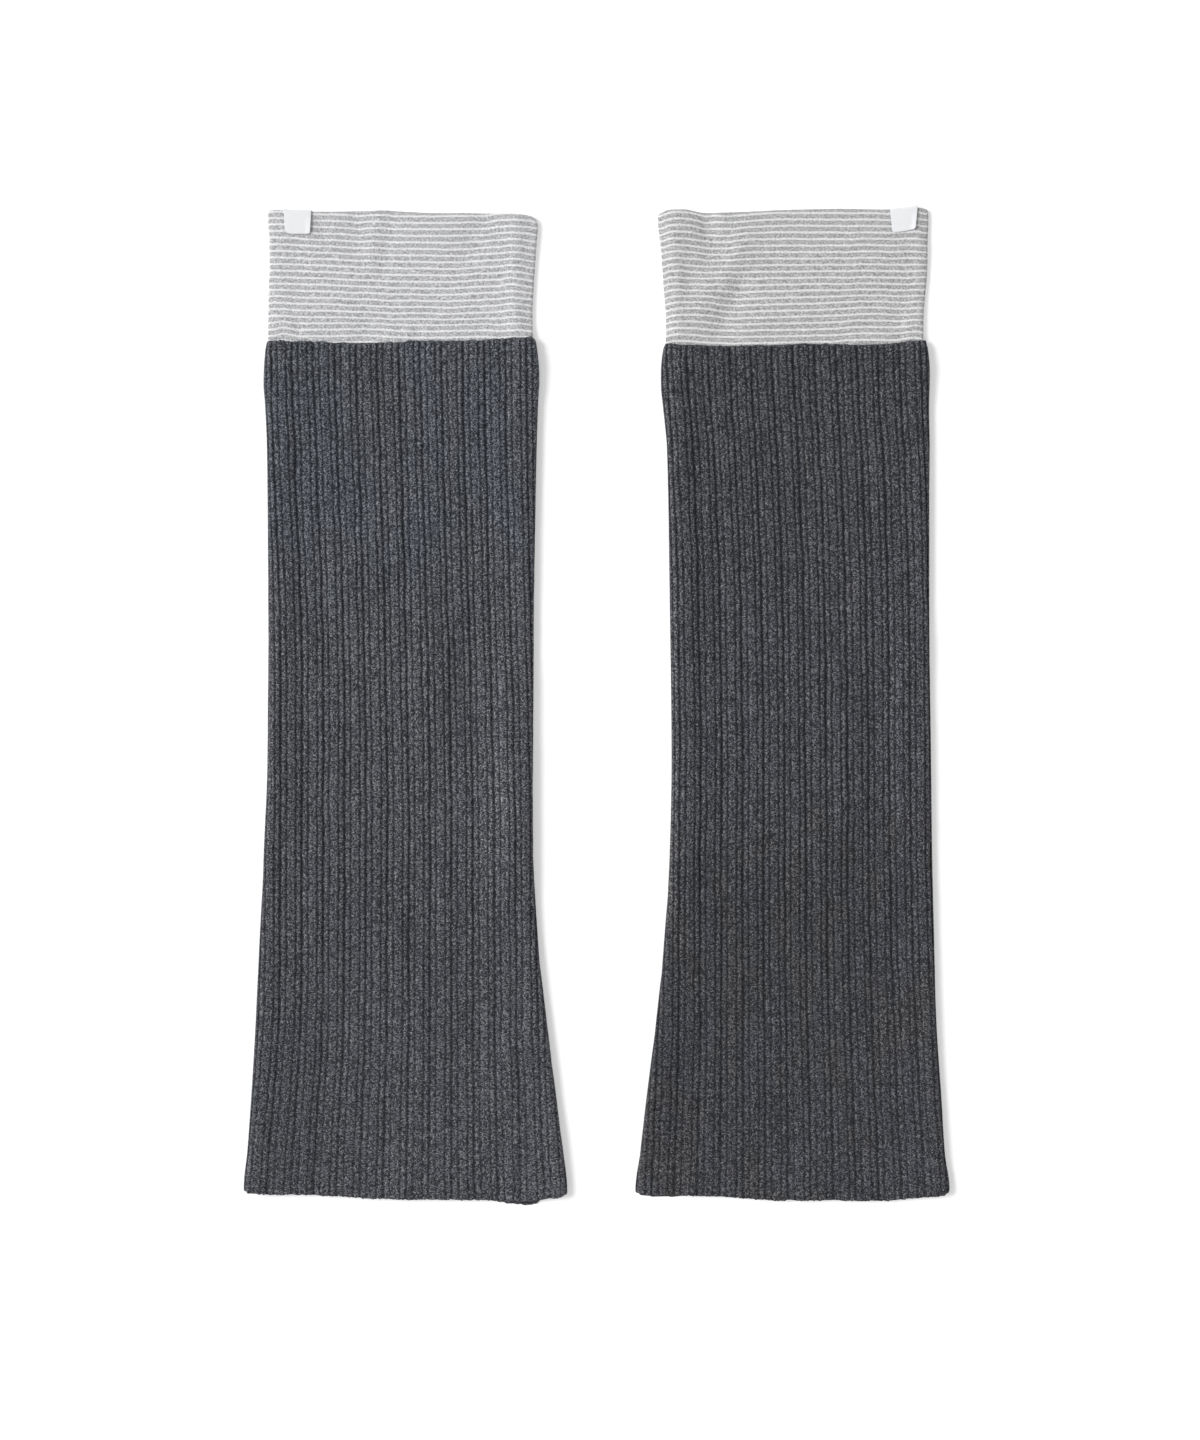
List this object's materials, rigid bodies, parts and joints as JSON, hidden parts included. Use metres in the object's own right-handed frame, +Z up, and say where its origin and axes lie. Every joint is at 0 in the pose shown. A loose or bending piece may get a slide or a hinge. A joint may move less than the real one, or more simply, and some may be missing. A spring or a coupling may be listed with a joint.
{
  "type": "pair of leg warmers",
  "caption": "Pair of long leg warmers lying flat: wide-rib knit tubes that flare to the hem, striped folded jersey cuffs and small blank fold-over labels.",
  "frame": {"origin": "middle of the box round both leg warmers, on the surface they lie on", "axes": "+Y along the legs towards the cuffs, +X across to the right leg warmer seen from above, +Z up out of the surface"},
  "size_m": [0.426, 0.6052, 0.0083],
  "materials": {
    "rib_knit": "charcoal marl, matt, wide rib with fine knit stitches",
    "striped_jersey": "light grey marl jersey with narrow white stripes, matt",
    "woven_label": "white woven tape, slightly satin, blank"
  },
  "bodies": {
    "root": {"leg_tube_left": "rib_knit", "cuff_left": "striped_jersey", "label_left": "woven_label", "leg_tube_right": "rib_knit", "cuff_right": "striped_jersey", "label_right": "woven_label"}
  },
  "joints": []
}
